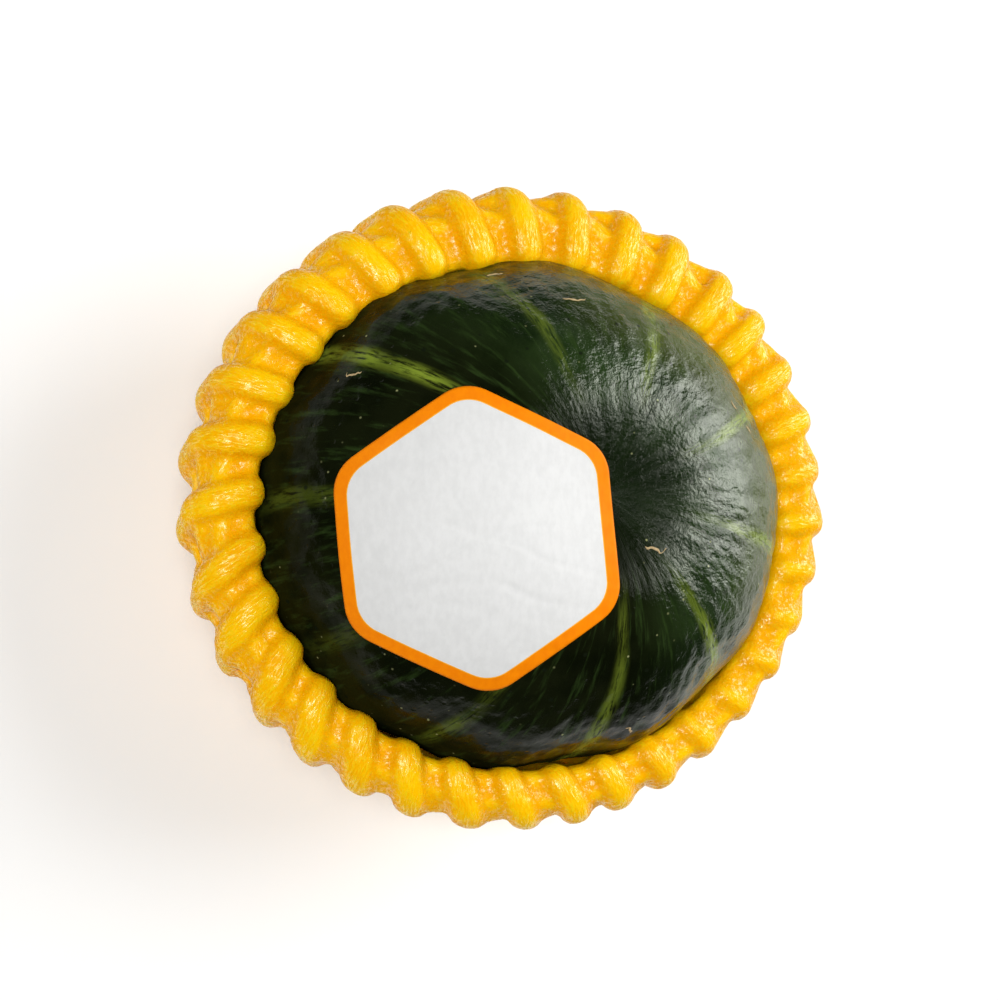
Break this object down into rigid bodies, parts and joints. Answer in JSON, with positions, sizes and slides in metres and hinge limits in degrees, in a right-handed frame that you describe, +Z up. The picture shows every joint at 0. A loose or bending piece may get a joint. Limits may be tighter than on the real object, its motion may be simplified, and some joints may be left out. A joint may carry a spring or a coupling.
{
  "type": "baby pumpkin",
  "caption": "Small dark green kabocha pumpkin, blossom end up, in a cup-shaped yellow foam net sleeve with a folded rim and a six-sided paper label.",
  "frame": {"origin": "on the surface it stands on, in the middle of its outline", "axes": "+Z up through the blossom end; +X towards the side where the blossom end leans and the rim is highest; +Y to the left of +X seen from above"},
  "size_m": [0.1266, 0.1186, 0.0697],
  "materials": {
    "pumpkin_skin": "waxy dark blue-green rind with yellow-green stripes and small corky marks",
    "stem_cork": "dry tan cork with fine furrows and a pale cut end",
    "foam": "golden yellow expanded foam strands with a satin, fibrous skin",
    "label_paper": "pale grey-white coated paper with an orange edge"
  },
  "bodies": {
    "root": {"pumpkin": "pumpkin_skin", "stem": "stem_cork", "foam_net": "foam", "sticker": "label_paper"}
  },
  "joints": []
}
